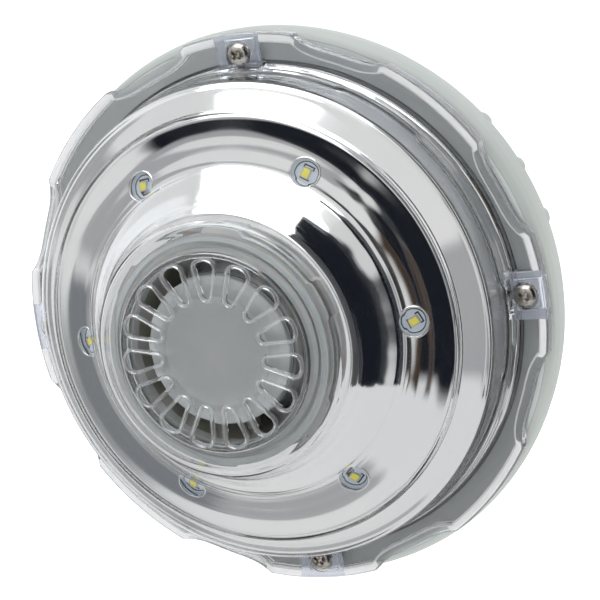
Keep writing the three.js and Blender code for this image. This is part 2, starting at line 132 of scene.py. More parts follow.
def rounded(corners, loop=True):
    """An outline with arcs at its corners, each (radius, forward) or (radius, forward, fillet)."""
    spots = [Vector(corner[:2]) for corner in corners]
    points = []
    count = len(spots)
    for i, corner in enumerate(corners):
        end = not loop and i in (0, count - 1)
        if len(corner) < 3 or end:
            points.append(spots[i])
        else:
            points += corner_arc(spots[i - 1], spots[i], spots[(i + 1) % count], corner[2])
    return points


def finer(points, longest):
    """The same closed outline with no stretch longer than longest."""
    out = []
    for i, here in enumerate(points):
        onward = points[(i + 1) % len(points)] - here
        pieces = max(1, math.ceil(onward.length / longest))
        out += [here + onward * step / pieces for step in range(pieces)]
    return out


def band(inner, outer, back, front, *fillets):
    """The section of a plain ring: one fillet for all corners, or one each from the inner back one."""
    corners = [(inner, back), (outer, back), (outer, front), (inner, front)]
    if len(fillets) == 1:
        fillets = fillets * 4
    return [(*corner, fillet) for corner, fillet in zip(corners, fillets)] if fillets else corners


def rectangle(half, low, high):
    """A (right, up) outline, half wide on each side of the middle."""
    return [(-half, low), (half, low), (half, high), (-half, high)]


# ---- meshes -------------------------------------------------------------------------------

def make(name, corners, faces):
    mesh = bpy.data.meshes.new(name)
    mesh.from_pydata(corners, [], faces)
    piece = bpy.data.objects.new(name, mesh)
    bpy.context.scene.collection.objects.link(piece)
    tidy(piece)
    return piece


def tidy(piece):
    """Joins shared corners, turns the faces outwards and shades the mesh smooth."""
    work = bmesh.new()
    work.from_mesh(piece.data)
    bmesh.ops.remove_doubles(work, verts=work.verts, dist=MERGED * MM)
    bmesh.ops.dissolve_degenerate(work, edges=work.edges, dist=MERGED / 10 * MM)
    bmesh.ops.recalc_face_normals(work, faces=work.faces)
    work.to_mesh(piece.data)
    work.free()
    smooth(piece)


def smooth(piece):
    piece.data.shade_smooth()
    piece.data.set_sharp_from_angle(angle=SHARP)


def sections(name, rows):
    """A skin over rows of points. The rows close on each other, and each row on itself."""
    corners = [spot for row in rows for spot in row]
    size = len(rows[0])
    faces = []
    for i in range(len(rows)):
        following = (i + 1) % len(rows)
        faces += strip(i, following, size)
    return make(name, corners, faces)


def strip(first, second, size):
    """The faces between two closed rows of size points."""
    faces = []
    for j in range(size):
        onward = (j + 1) % size
        faces.append((first * size + j, second * size + j, second * size + onward, first * size + onward))
    return faces


def even_angles(count, first=0.0):
    return [first + 360.0 * i / count for i in range(count)]


def turned(name, corners, facets=ROUND, longest=1.5):
    """A turned ring or disc from a closed outline."""
    outline = finer(rounded(corners), longest)
    rows = [[point(spot.x, spot.y, angle) for spot in outline] for angle in even_angles(facets)]
    return sections(name, rows)


def o_ring(name, radius, thickness, forward, facets=ROUND):
    half = thickness / 2
    turns = [math.radians(degrees) for degrees in range(0, 360, 15)]
    circle = [(radius + half * math.cos(turn), forward + half * math.sin(turn)) for turn in turns]
    rows = [[point(r, f, angle) for r, f in circle] for angle in even_angles(facets)]
    return sections(name, rows)


def sweep(name, path, section):
    """A closed tube along points: section gives (sideways, up), up along the light's front."""
    rows = []
    for i, here in enumerate(path):
        along = (path[(i + 1) % len(path)] - path[i - 1]).normalized()
        up = Vector((0, -1, 0))
        side = along.cross(up).normalized()
        rows.append([here + (side * across + up * height) * MM for across, height in section])
    return sections(name, rows)


def capped(name, rows):
    """A tube over open rows, with flat ends."""
    corners = [spot for row in rows for spot in row]
    size = len(rows[0])
    faces = [tuple(range(size)), tuple(reversed(range(len(corners) - size, len(corners))))]
    for i in range(len(rows) - 1):
        faces += strip(i, i + 1, size)
    return make(name, corners, faces)


def tube(name, path, radius, facets):
    """A round tube along any open path of points in metres."""
    rows = []
    side = None
    for i, here in enumerate(path):
        along = (path[min(i + 1, len(path) - 1)] - path[max(i - 1, 0)]).normalized()
        if side is None:
            side = along.orthogonal().normalized()
        side = (side - along * side.dot(along)).normalized()
        across = along.cross(side)
        ring = []
        for step in range(facets):
            turn = 2 * math.pi * step / facets
            ring.append(here + (side * math.cos(turn) + across * math.sin(turn)) * radius * MM)
        rows.append(ring)
    return capped(name, rows)


def prism(name, outline, back, front, bevel=0.0, segments=3):
    """A flat outline of (right, up) points in mm, given thickness along the axis."""
    count = len(outline)
    corners = [Vector((x, -f, z)) * MM for f in (back, front) for x, z in outline]
    faces = [tuple(range(count)), tuple(reversed(range(count, 2 * count)))]
    faces += [(i, (i + 1) % count, count + (i + 1) % count, count + i) for i in range(count)]
    piece = make(name, corners, faces)
    if bevel:
        soften(piece, bevel, segments)
    return piece


def soften(piece, width, segments):
    """Rounds every crisp edge."""
    rounding = piece.modifiers.new("soften", "BEVEL")
    rounding.width = width * MM
    rounding.segments = segments
    rounding.limit_method = "ANGLE"
    rounding.angle_limit = math.radians(35)
    apply_modifiers(piece)
    smooth(piece)


def wedge(name, ends):
    """A tapering block between two ends, each (forward, outline)."""
    corners = [Vector((x, -forward, z)) * MM for forward, outline in ends for x, z in outline]
    faces = [(0, 1, 2, 3), (7, 6, 5, 4), (0, 4, 5, 1), (1, 5, 6, 2), (2, 6, 7, 3), (3, 7, 4, 0)]
    return make(name, corners, faces)


def apply_modifiers(piece):
    bpy.context.view_layer.update()
    ready = piece.evaluated_get(bpy.context.evaluated_depsgraph_get())
    mesh = bpy.data.meshes.new_from_object(ready)
    piece.modifiers.clear()
    piece.data = mesh


def boolean(piece, tool, operation):
    """Cuts or joins piece with tool, and removes the tool."""
    change = piece.modifiers.new("boolean", "BOOLEAN")
    change.operation = operation
    change.solver = "MANIFOLD"
    change.object = tool
    apply_modifiers(piece)
    bpy.data.objects.remove(tool)
    smooth(piece)
    return piece


def joined(name, pieces):
    """One object from several, their materials kept."""
    with bpy.context.temp_override(active_object=pieces[0], selected_editable_objects=pieces):
        bpy.ops.object.join()
    pieces[0].name = name
    pieces[0].data.name = name
    return pieces[0]


def move(piece, matrix):
    piece.data.transform(matrix)
    return piece


def clocked(piece, angle, radius=0.0):
    """Moves a piece made on the axis out to a radius, then round to a clock angle."""
    turn = Matrix.Rotation(math.radians(angle), 4, "Y")
    return move(piece, turn @ Matrix.Translation((0, 0, radius * MM)))


def finish_piece(piece, look, slot, body, *nodes):
    """Gives a piece its material, the body it rides on and the nodes it stands for; slot is not used."""
    if look is not None:
        piece.data.materials.clear()
        piece.data.materials.append(look)
    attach(piece, body)
    if nodes:
        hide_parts(*nodes)
    return piece


def paint(piece, looks, choose):
    """Adds looks after a piece's own, and gives each face the one of choose(radius, forward, face)."""
    for look in looks:
        piece.data.materials.append(look)
    for face in piece.data.polygons:
        middle = face.center / MM
        face.material_index = choose(math.hypot(middle.x, middle.z), -middle.y, face)


# ---- materials ------------------------------------------------------------------------------

def add_node(tree, kind, **inputs):
    """A node with some of its inputs given: a socket is linked and anything else is written."""
    node = tree.nodes.new(kind)
    for name, value in inputs.items():
        socket = node.inputs[name.replace("_", " ")]
        if isinstance(value, bpy.types.NodeSocket):
            tree.links.new(value, socket)
        else:
            socket.default_value = value
    return node


class Look:
    """A principled material with a few short ways to add texture to it."""

    def __init__(self, name, **sockets):
        self.material = bpy.data.materials.new(name)
        self.material.use_nodes = True
        self.tree = self.material.node_tree
        self.shader = self.tree.nodes["Principled BSDF"]
        for socket, value in sockets.items():
            self.shader.inputs[socket.replace("_", " ")].default_value = value
        self.place = self.tree.nodes.new("ShaderNodeTexCoord").outputs["Object"]
        self.last_bump = None

    def noise(self, scale, detail):
        """Mottling with features about 1 / scale metres across."""
        node = add_node(self.tree, "ShaderNodeTexNoise", Scale=scale, Detail=detail, Roughness=0.55,
                        Vector=self.place)
        return node.outputs["Fac"]

    def cells(self, scale):
        """Round grains about 1 / scale metres across."""
        node = add_node(self.tree, "ShaderNodeTexVoronoi", Scale=scale, Vector=self.place)
        return node.outputs["Distance"]

    def between(self, factor, low, high):
        """Spreads the middle of a noise over low to high."""
        node = add_node(self.tree, "ShaderNodeMapRange", From_Min=0.3, From_Max=0.7, To_Min=low,
                        To_Max=high, Value=factor)
        return node.outputs["Result"]

    def colours(self, factor, *stops):
        """A colour ramp: each stop is (place, (r, g, b))."""
        node = self.tree.nodes.new("ShaderNodeValToRGB")
        ramp = node.color_ramp
        while len(ramp.elements) < len(stops):
            ramp.elements.new(0.5)
        for element, (place, colour) in zip(ramp.elements, stops):
            element.position = place
            element.color = (*colour, 1.0)
        self.tree.links.new(factor, node.inputs["Fac"])
        return node.outputs["Color"]

    def give(self, output, socket):
        self.tree.links.new(output, self.shader.inputs[socket])

    def colour(self, stops, scale):
        self.give(self.colours(self.noise(scale, 4.0), *stops), "Base Color")

    def rough(self, low, high, scale):
        self.give(self.between(self.noise(scale, 5.0), low, high), "Roughness")

    def bump(self, height, strength, distance):
        """Raised detail, distance in millimetres, on top of any earlier bump."""
        earlier = {"Normal": self.last_bump} if self.last_bump else {}
        node = add_node(self.tree, "ShaderNodeBump", Strength=strength, Distance=distance * MM,
                        Height=height, **earlier)
        self.last_bump = node.outputs["Normal"]
        self.give(self.last_bump, "Normal")


def surface(name, colours, scale, rough, *bumps, places=(0.3, 0.7), **sockets):
    """A material mottled between its colours.

    scale is that of the mottling, rough is (lowest, highest, scale), and a bump is (scale,
    detail, strength, millimetres), in which a detail of 0 gives round grains.
    """
    look = Look(name, **sockets)
    look.colour(zip(places, colours), scale)
    look.rough(*rough)
    for bump_scale, detail, strength, height in bumps:
        texture = look.noise(bump_scale, detail) if detail else look.cells(bump_scale)
        look.bump(texture, strength, height)
    return look.material


def mist(name, tint, clearness, low, high):
    """A fine grain that only mists clear plastic."""
    colours = (tuple(0.95 * value for value in tint), tint)
    return surface(name, colours, 90.0, (low, high, 200.0), (2000.0, 2.0, 0.3, 0.05),
                   IOR=1.5, Transmission_Weight=clearness)


def metal(name, low, high):
    return surface(name, (low, high), 300.0, (0.2, 0.4, 450.0), (1800.0, 3.0, 0.25, 0.04), Metallic=1.0)


LOOKS = {
    # injection-moulded clear polycarbonate: slight flow waves and a few fine scuffs
    "clear_plastic": surface(
        "clear_plastic", ((0.985, 0.99, 1.0), (1.0, 1.0, 1.0)), 22.0, (0.0, 0.03, 35.0),
        (28.0, 1.0, 0.25, 0.5), IOR=1.55, Transmission_Weight=1.0),
    # vacuum-metallised reflector: mirror bright, with the faint ripple of moulded plastic
    "chrome": surface(
        "chrome", ((0.83, 0.84, 0.85), (0.88, 0.885, 0.88)), 18.0, (0.025, 0.06, 30.0),
        (16.0, 1.5, 0.3, 0.8), (110.0, 2.0, 0.08, 0.1), places=(0.35, 0.65), Metallic=1.0),
    # pale grey-green moulded body with a fine spark-eroded grain
    "shell_plastic": surface(
        "shell_plastic", ((0.42, 0.45, 0.425), (0.445, 0.475, 0.45), (0.47, 0.495, 0.47)), 30.0,
        (0.36, 0.52, 50.0), (2600.0, 2.0, 0.25, 0.06), (45.0, 2.0, 0.2, 0.3),
        places=(0.25, 0.5, 0.75), IOR=1.5),
    # smooth satin grey plastic
    "grey_plastic": surface(
        "grey_plastic", ((0.64, 0.675, 0.68), (0.70, 0.73, 0.73)), 55.0, (0.4, 0.55, 80.0),
        (2200.0, 2.0, 0.2, 0.05), IOR=1.5),
    # dark olive moulded plastic; inside the water tube it is painted shade down the deep passage
    "dark_plastic": surface(
        "dark_plastic", ((0.43, 0.425, 0.36), (0.50, 0.49, 0.42)), 70.0, (0.42, 0.62, 90.0),
        (1800.0, 2.0, 0.3, 0.06), IOR=1.5),
    # stainless steel, a little uneven, with darker specks
    "steel": surface(
        "steel", ((0.42, 0.39, 0.35), (0.62, 0.59, 0.54), (0.7, 0.68, 0.64)), 500.0,
        (0.16, 0.34, 700.0), (1500.0, 3.0, 0.25, 0.03), places=(0.3, 0.6, 0.8), Metallic=1.0),
    "rubber": surface(
        "rubber", ((0.24, 0.26, 0.29), (0.31, 0.33, 0.36)), 160.0, (0.6, 0.85, 200.0),
        (3000.0, 3.0, 0.4, 0.05), IOR=1.5),
    "silicone": surface(
        "silicone", ((0.84, 0.87, 0.86), (0.89, 0.91, 0.90)), 90.0, (0.35, 0.5, 120.0),
        (1500.0, 2.0, 0.2, 0.05), IOR=1.42, Subsurface_Weight=0.2, Subsurface_Scale=0.002),
    # white solder mask, slightly blue, with a faint painted glow that brightens the boards in their shaded
    # pockets
    "board": surface(
        "board", ((0.82, 0.88, 0.93), (0.88, 0.93, 0.96)), 260.0, (0.3, 0.45, 300.0),
        (900.0, 3.0, 0.3, 0.04), places=(0.35, 0.6), IOR=1.5, Coat_Weight=0.4, Coat_Roughness=0.2,
        Emission_Strength=0.22, Emission_Color=(0.72, 0.84, 1.0, 1.0)),
    # yellow phosphor gel with fine grains, and a faint painted glow that brightens it in its shaded pocket
    "phosphor": surface(
        "phosphor", ((0.90, 0.82, 0.06), (0.97, 0.92, 0.16)), 1500.0, (0.18, 0.35, 1200.0),
        (5200.0, 0, 0.25, 0.04), IOR=1.41, Emission_Strength=0.30,
        Emission_Color=(1.0, 0.86, 0.10, 1.0)),
    "copper": metal("copper", (0.62, 0.24, 0.09), (0.78, 0.34, 0.15)),
    "brass": metal("brass", (0.55, 0.40, 0.13), (0.68, 0.52, 0.20)),
    # sintered ferrite: near black, with tiny pits
    "magnet": surface(
        "magnet", ((0.03, 0.03, 0.034), (0.065, 0.065, 0.07)), 600.0, (0.4, 0.6, 500.0),
        (2600.0, 0, 0.3, 0.05), Metallic=0.35),
    "lead_sleeve": surface(
        "lead_sleeve", ((0.74, 0.74, 0.72), (0.82, 0.82, 0.80)), 250.0, (0.35, 0.5, 300.0),
        (1200.0, 2.0, 0.2, 0.04), IOR=1.48),
}
INK = surface(
    "board_ink", ((0.006, 0.007, 0.009), (0.016, 0.018, 0.02)), 1200.0, (0.4, 0.6, 900.0), IOR=1.5)
# fine mould grain on clear plastic, milky and near white; its brightness is partly a painted highlight
FROST_AND_HIGHLIGHT = surface(
    "frosted_lip_and_highlight", ((0.92, 0.92, 0.93), (0.98, 0.98, 0.99)), 120.0, (0.35, 0.5, 300.0),
    (2400.0, 2.0, 0.4, 0.05), IOR=1.5, Transmission_Weight=0.25)
# a fine mist behind the cap's middle, its white partly painted light that brightens the disc seen through it
MIST_AND_PAINTED_LIGHT = mist("misted_disc_painted_light", (0.93, 0.95, 0.97), 0.8, 0.1, 0.16)
# the beads' slight white mist stands in for their glints: a painted highlight
BEAD_MIST_AND_HIGHLIGHT = mist("slot_beads_painted_highlight", (0.97, 0.98, 1.0), 0.88, 0.03, 0.08)
# mist on the screw blocks, its lavender tint a painted reflection
BLOCK_MIST_AND_REFLECTION = mist("screw_blocks_painted_reflection", (0.74, 0.78, 0.90), 0.72, 0.08, 0.16)
# the shell's front face: smoother than its sides, and paler and bluer as painted light standing in for light
# through the flange
PAINTED_LIGHT_RIM = surface(
    "shell_rim_painted_light", ((0.68, 0.73, 0.73), (0.77, 0.81, 0.81)), 30.0, (0.3, 0.42, 60.0),
    (1600.0, 2.0, 0.2, 0.05), IOR=1.5)
# bare plastic of the reflector's skirt, where the metal coating stops; its pale lavender-blue is partly
# painted reflection
SKIRT_AND_REFLECTION = surface(
    "reflector_skirt_painted_reflection", ((0.86, 0.89, 0.93), (0.92, 0.94, 0.97)), 60.0, (0.3, 0.42, 80.0),
    (400.0, 2.0, 0.2, 0.05), IOR=1.5)
# cream reflector frame of the LED package
PACKAGE = surface(
    "led_package", ((0.78, 0.77, 0.70), (0.86, 0.85, 0.79)), 900.0, (0.35, 0.5, 800.0), IOR=1.5)


def place(piece, slot, *nodes, body="root"):
    return finish_piece(piece, LOOKS[slot], slot, body, *nodes)


# ---- clear front lens -----------------------------------------------------------------------

def rim_radius(angle):
    """Outer radius of the wavy flange: lobes, with flat-bottomed hollows between them."""
    away, _ = nearest_turn(angle, LOBES, 180.0 / LOBES)
    share = abs(away) / SCALLOP_HALF
    return LOBE_RADIUS - SCALLOP_DEPTH * max(0.0, 1 - share ** 3.5)


def ledge_height(angle):
    """The step low on the riser drops beside each LED."""
    away, _ = nearest_turn(angle, LEDS, LEDGE_FIRST)
    return 60.6 - 1.9 * smooth_step((LEDGE_HALF - abs(away)) / LEDGE_SLOPE)


LENS_TOP = (
    (OPENING_RADIUS, 100.1), (OPENING_RADIUS, 102.3, 0.8), (32.1, 103, 3), (35.2, 102.4, 5),
    (38.3, 99.8, 3), (40.9, 92.8, 2), (42.9, 89.9, 6), (46.2, 86.3, 8), (49.8, 82.6, 3), (52.2, 80.9, 4),
    (57, 78.9, 12), (65.3, 76.8, 0.8), (66, 74.9, 0.8), (72.4, 71.1, 1.5), (73.4, 68.9, 1.0),
)
LENS_UNDERSIDE = (
    (72.2, FLANGE_BACK), (72.2, 68.9, 1.0), (65.2, 73.2, 0.6), (64.5, 75.5, 0.6), (58.6, 76.95, 12),
    (54.2, 78.5, 12), (50.6, 80.05, 2), (49.2, 81.3, 0.6), (44.7, 85.7, 12), (41.1, 89.8, 8),
    (38.9, 93.6, 2), (36.9, 98.8, 2), (34, 100.1, 0.5),
)


def lens_corners(angle):
    """The rounded lens section at one clock angle, with the same number of points at every angle."""
    rim = rim_radius(angle)
    ledge = ledge_height(angle)
    inside = rim - LIP_WIDTH
    first = RISER_FOOT + 1.2
    last = inside - 0.9
    steps = 12
    outline = rounded([
        *LENS_TOP, (73.6, ledge + 0.3, 0.5), (74.5, ledge - 0.2, 0.5), (RISER_FOOT, FLANGE_FRONT + 0.7),
    ], loop=False)
    outline.append(Vector((RISER_FOOT + 0.35, FLANGE_FRONT + 0.2)))
    outline += [Vector((first + (last - first) * step / steps, FLANGE_FRONT)) for step in range(steps + 1)]
    outline += rounded([
        (inside - 0.35, FLANGE_FRONT + 0.1), (inside, LIP_FRONT - 0.5), (inside + 0.6, LIP_FRONT, 0.3),
        (rim - 0.1, LIP_FRONT, 0.5), (rim, FLANGE_BACK, 0.5), (RISER_FOOT - 2, FLANGE_BACK),
    ], loop=False)
    return outline + rounded(LENS_UNDERSIDE, loop=False)


def split_like(points, pieces):
    """Splits each stretch of a closed outline into its given number of pieces."""
    out = []
    for i, here in enumerate(points):
        onward = points[(i + 1) % len(points)] - here
        out += [here + onward * step / pieces[i] for step in range(pieces[i])]
    return out


def edge_marks(count, first, half, spread, reach):
    """Clock angles close to both edges of count evenly spaced features."""
    return [
        (360.0 / count * k + first + side * half + spread * step) % 360
        for k in range(count) for side in (-1, 1) for step in range(-reach, reach + 1)
    ]


def lens_angles():
    """Clock angles for the lens sections, closer together where its shape changes fast."""
    marks = set(even_angles(360))
    marks.update(edge_marks(LOBES, 180.0 / LOBES, SCALLOP_HALF, 0.22, 6))
    marks.update(edge_marks(LEDS, LEDGE_FIRST, LEDGE_HALF - LEDGE_SLOPE / 2, 0.3, 5))
    kept = []
    for mark in sorted(marks):
        if not kept or mark - kept[-1] > 0.05:
            kept.append(mark)
    return kept


def screw_boss():
    """The block round a lens screw, made at the top of the light, its outer side on the rim."""
    reach = math.degrees(math.asin(BOSS_HALF / BOSS_RIM))
    outline = [(-BOSS_HALF, RISER_FOOT - 1.0), (BOSS_HALF, RISER_FOOT - 1.0)]
    for step in range(13):
        turn = math.radians(reach * (1 - step / 6))
        outline.append((BOSS_RIM * math.sin(turn), BOSS_RIM * math.cos(turn)))
    return prism("boss", outline, FLANGE_BACK + 1.0, LIP_FRONT - 0.05, 0.55)


def boss_core():
    """The hollow moulded behind a boss, round a post that the screw passes through."""
    outline = rectangle(4.9, RISER_FOOT + 0.2, 83.2)
    core = prism("core", outline, FLANGE_BACK - 1.0, FLANGE_FRONT + 0.8, 0.6)
    post = turned("post", [(0, 48), (3.1, 48), (2.9, 54), (0, 54)], SMALL_ROUND)
    return boolean(core, move(post, Matrix.Translation((0, 0, SCREW_CIRCLE * MM))), "DIFFERENCE")


def lip_look(radius, forward, face):
    """0 is clear, 1 the grain on the lobes and a painted highlight along the hollows' inner edge, 2 the mist
    on the blocks, tinted lavender as a painted reflection.
    """
    if not LIP_FRONT - 0.6 < forward < LIP_FRONT + 0.1 or radius < 75.5:
        return 0
    angle = math.degrees(math.atan2(face.center.x, face.center.z))
    hollow, _ = nearest_turn(angle, LOBES, 180.0 / LOBES)
    boss, _ = nearest_turn(angle, SCREWS)
    beside = radius * abs(math.sin(math.radians(boss)))
    # the blocks get the lavender mist, a painted reflection
    if abs(boss) < 20 and beside < BOSS_HALF + 0.1:
        return 2
    # in the hollows only a thin strip along the inner edge: a painted highlight
    width = 2.3 if abs(hollow) > SCALLOP_HALF - 1.0 else 0.75
    return 1 if radius < rim_radius(angle) - LIP_WIDTH + width else 0


def front_lens():
    corners = lens_corners(0)
    longest = 0.9
    pieces = []
    for here, onward in zip(corners, corners[1:] + corners[:1]):
        pieces.append(max(1, math.ceil((onward - here).length / longest)))
    rows = []
    for angle in lens_angles():
        rows.append([point(spot.x, spot.y, angle) for spot in split_like(lens_corners(angle), pieces)])
    lens = sections("clear_front_lens", rows)
    for angle in even_angles(SCREWS):
        boolean(lens, clocked(screw_boss(), angle), "UNION")
        boolean(lens, clocked(boss_core(), angle), "DIFFERENCE")
        hole = turned("hole", [
            (0, 48), (1.9, 48), (1.9, LIP_FRONT - 0.6), (4.2, LIP_FRONT - 0.6), (4.2, 56), (0, 56),
        ], SMALL_ROUND)
        boolean(lens, clocked(hole, angle, SCREW_CIRCLE), "DIFFERENCE")
    place(lens, "clear_plastic", "front_lens")
    paint(lens, (FROST_AND_HIGHLIGHT, BLOCK_MIST_AND_REFLECTION), lip_look)


# ---- slotted outlet cap ---------------------------------------------------------------------

def slot_path(grow=0.0):
    """A slot's outline as (right, up) points: narrow and round inside, wide and round outside."""
    narrow = SLOT_NARROW + grow
    wide = SLOT_WIDE + grow
    low = SLOT_INNER + SLOT_NARROW
    high = SLOT_OUTER - SLOT_WIDE + 0.6
    turns = [math.pi * step / 10 for step in range(11)]
    outline = [(-narrow * math.cos(turn), low - narrow * math.sin(turn)) for turn in turns]
    for turn in turns:
        flat = (SLOT_WIDE - 0.6 + grow) * math.sin(turn) ** 0.8
        outline.append((wide * math.cos(turn), high + flat))
    return outline


def slot_rim(angle):
    """The rounded bead that stands round a slot."""
    path = [Vector((x, 0.1 - CAP_FACE, z)) * MM for x, z in finer_pairs(slot_path(0.15), 0.8)]
    turns = [math.radians(degrees) for degrees in range(0, 360, 30)]
    bead = [(0.62 * math.cos(turn), 0.9 * math.sin(turn)) for turn in turns]
    return clocked(sweep("slot_bead", path, bead), angle)


def finer_pairs(pairs, longest):
    return [(spot.x, spot.y) for spot in finer([Vector(pair) for pair in pairs], longest)]


def outlet_cap():
    cap = turned("clear_outlet_cap", [
        (0, 101.9), (28.3, 101.9, 0.4), (28.3, 98.6, 0.2), (31.5, 98.6, 0.3), (31.5, 99.7, 0.3),
        (29.5, 99.7, 0.3), (29.5, CAP_FACE, 1.1), (0, CAP_FACE),
    ])
    slots = even_angles(SLOTS, SLOT_FIRST)
    for angle in slots:
        boolean(cap, clocked(prism("slot", slot_path(), 100, 106), angle), "DIFFERENCE")
    for angle in slots:
        boolean(cap, slot_rim(angle), "UNION")
    place(cap, "clear_plastic", "outlet_grille")
    paint(cap, (MIST_AND_PAINTED_LIGHT, BEAD_MIST_AND_HIGHLIGHT, LOOKS["silicone"]), cap_look)


def cap_look(radius, forward, face):
    """0 is clear, 1 the mist behind the middle, partly painted light, 2 the beads, whitened as a painted
    highlight, 3 a pale seal bonded to the rim.
    """
    # the beads are whitened as a painted highlight
    if forward > CAP_FACE + 0.05:
        return 2
    if radius > 28.4 and forward < 99.9:
        return 3
    return 1 if radius < SLOT_INNER + 1.0 and face.normal.y > 0.9 else 0


# ---- reflector and LEDs -----------------------------------------------------------------------

def on_terrace(piece, depth, angle, turn=0.0):
    """Lays a piece made on the axis, front towards the viewer, square to the LED terrace."""
    spin = Matrix.Rotation(math.radians(turn), 4, "Y")
    sink = Matrix.Translation((0, depth * MM, 0))
    tilt = Matrix.Rotation(math.radians(-LED_TILT), 4, "X")
    out = Matrix.Translation((0, -LED_FORWARD * MM, LED_CIRCLE * MM))
    clock = Matrix.Rotation(math.radians(angle), 4, "Y")
    return move(piece, clock @ out @ tilt @ sink @ spin)


def reflector():
    mirror = turned("chrome_reflector", [
        (30.6, 91.5, 0.3), (30.6, 93.0, 0.3), (38.2, 93.0, 0.8), (40.6, 89.4, 30), (44.2, 85.2, 40),
        (48.5, 81.3, 0.4), (48.9, 80.8, 0.4), (49.8, 80.0, 3), (54, 78.1, 60), (58.5, 76.5, 60),
        (64, 75.2, 0.6), (64.6, 72.9, 0.6), (71, 68.7, 1.0), (71.8, 67.6, 0.8), (71.8, 49.9, 0.3),
        (70.3, 49.9, 0.3), (70.3, 67.4, 0.5), (63.3, 71.6, 0.5), (62.9, 73.9, 0.5), (53.4, 76.6, 10),
        (49.4, 78.4, 3), (47.4, 80.3, 0.5), (43.1, 84.2, 10), (39.4, 88.6, 8), (37.4, 91.5, 0.5),
    ], 360, 0.8)
    for angle in even_angles(LEDS, LED_FIRST):
        hole = turned("hole", band(0, 4.35, -6, 6), SMALL_ROUND)
        boolean(mirror, on_terrace(hole, 0, angle), "DIFFERENCE")
    for angle in even_angles(LEDS, LED_FIRST):
        bead = o_ring("pocket_rim", 4.5, 0.7, 0, SMALL_ROUND)
        boolean(mirror, on_terrace(bead, 0.05, angle), "UNION")
    place(mirror, "chrome", "reflector")
    # the skirt's pale lavender-blue, seen through the riser, is partly painted reflection
    paint(mirror, [SKIRT_AND_REFLECTION], lambda radius, forward, face: int(radius > 70 and forward < 66.5))


def led_board(index, angle):
    """A round board with a printed ring and two printed corner marks."""
    base = turned("base", [(0, -0.6), (4.8, -0.6, 0.15), (4.8, 0.6, 0.15), (0, 0.6)], SMALL_ROUND)
    base.data.materials.append(LOOKS["board"])
    prints = [turned("print", band(3.4, 3.72, 0.55, 0.64), SMALL_ROUND)]
    prints.append(bracket(1, 1.75, 1.3, 2.5))
    prints.append(bracket(-1, 1.5, 1.5, 2.15))
    for mark in prints:
        mark.data.materials.append(INK)
    board = joined(f"led_board_{index}_fine", [base, *prints])
    on_terrace(board, 2.6, angle, LED_TURNS[index - 1])
    finish_piece(board, None, "board", "root", f"led_board_{index}")


def bracket(side, half, inner, outer):
    """A printed square bracket at one end of the chip."""
    line = 0.42
    outline = [
        (-half, inner), (-half, outer), (half, outer), (half, inner), (half - line, inner),
        (half - line, outer - line), (-half + line, outer - line), (-half + line, inner),
    ]
    return prism("print", [(x, side * z) for x, z in outline], 0.55, 0.66)


def led_chip(index, angle):
    """A cream package with a pool of yellow phosphor and two bright end contacts."""
    package = prism("package", rectangle(1.3, -1.7, 1.7), -0.45, 0.35, 0.12)
    package.data.materials.append(PACKAGE)
    gel = prism("gel", rectangle(1.05, -1.35, 1.35), 0.0, 0.42, 0.16, 4)
    gel.data.materials.append(LOOKS["phosphor"])
    parts = [package, gel]
    for side in (-1, 1):
        contact = prism("contact", rectangle(0.9, side * 1.5, side * 1.74), -0.44, -0.1, 0.04, 2)
        contact.data.materials.append(LOOKS["steel"])
        parts.append(contact)
    chip = joined(f"led_chip_{index}_fine", parts)
    on_terrace(chip, 1.25, angle, LED_TURNS[index - 1])
    finish_piece(chip, None, "phosphor", "root", f"led_chip_{index}")


def leds():
    for i, angle in enumerate(even_angles(LEDS, LED_FIRST)):
        led_board(i + 1, angle)
        led_chip(i + 1, angle)


# ---- rear shell -------------------------------------------------------------------------------

def shell_profile():
    return [
        (25, 0.2), (25.4, 0, 0.2), (30.6, 0, 0.4), (31, 0.5, 0.3), (31, 10.4, 0.8), (33.4, 13, 1.2),
        (58, 14.4, 30), (70, 17.5, 20), (77, 22, 10), (81.2, 28, 12), (83.7, 35, 20), (85.1, 41.5, 20),
        (85.4, 45, 4), (84.8, 48, 3), (83, SHELL_FRONT, 0.8),
        (76.1, SHELL_FRONT), (76.1, SHELL_FRONT - 1.6), (74.1, SHELL_FRONT - 1.6), (74.1, SHELL_FRONT),
        (69, SHELL_FRONT), (69, 45.8), (82.5, 45.8), (82.2, 41.6), (78.8, 29.3), (69, 20), (33.2, 16.7),
        (33.2, 25), (30.3, 25), (30.3, 16.7), (20.5, 16.7), (20.5, 14.3, 0.4), (25, 14.3),
    ]


def grip_rib():
    """One raised rib on the rear half of the side wall, with sloping sides."""
    spine = [(75.9, 21.0, 0.4), (77.4, 22.6, 1.0), (80.9, 27.8, 1.2), (83.0, 33.4, 1.0), (84.0, 36.8, 0.2)]
    rows = []
    across = (-3.3, -2.3, -1.3, 0.0, 1.3, 2.3, 3.3)
    for x, share in zip(across, (0.0, 0.35, 0.9, 1.0, 0.9, 0.35, 0.0)):
        top = [(r - 0.5 + 1.3 * share * height, f) for r, f, height in spine]
        under = [(r - 1.6, f + 0.3) for r, f, height in reversed(spine)]
        rows.append([Vector((x, -f, r)) * MM for r, f in top + under])
    return capped("rib", rows)


def grip_angles():
    middles = even_angles(GRIP_GROUPS, GRIP_FIRST)
    return [middle + side * GRIP_STEP for middle in middles for side in (-1, 0, 1)]


def screw_post():
    """A post inside the shell that takes a lens screw."""
    return turned("post", [(1.9, 34), (3.5, 34, 0.3), (3.5, 46.5), (1.9, 46.5)], 32)


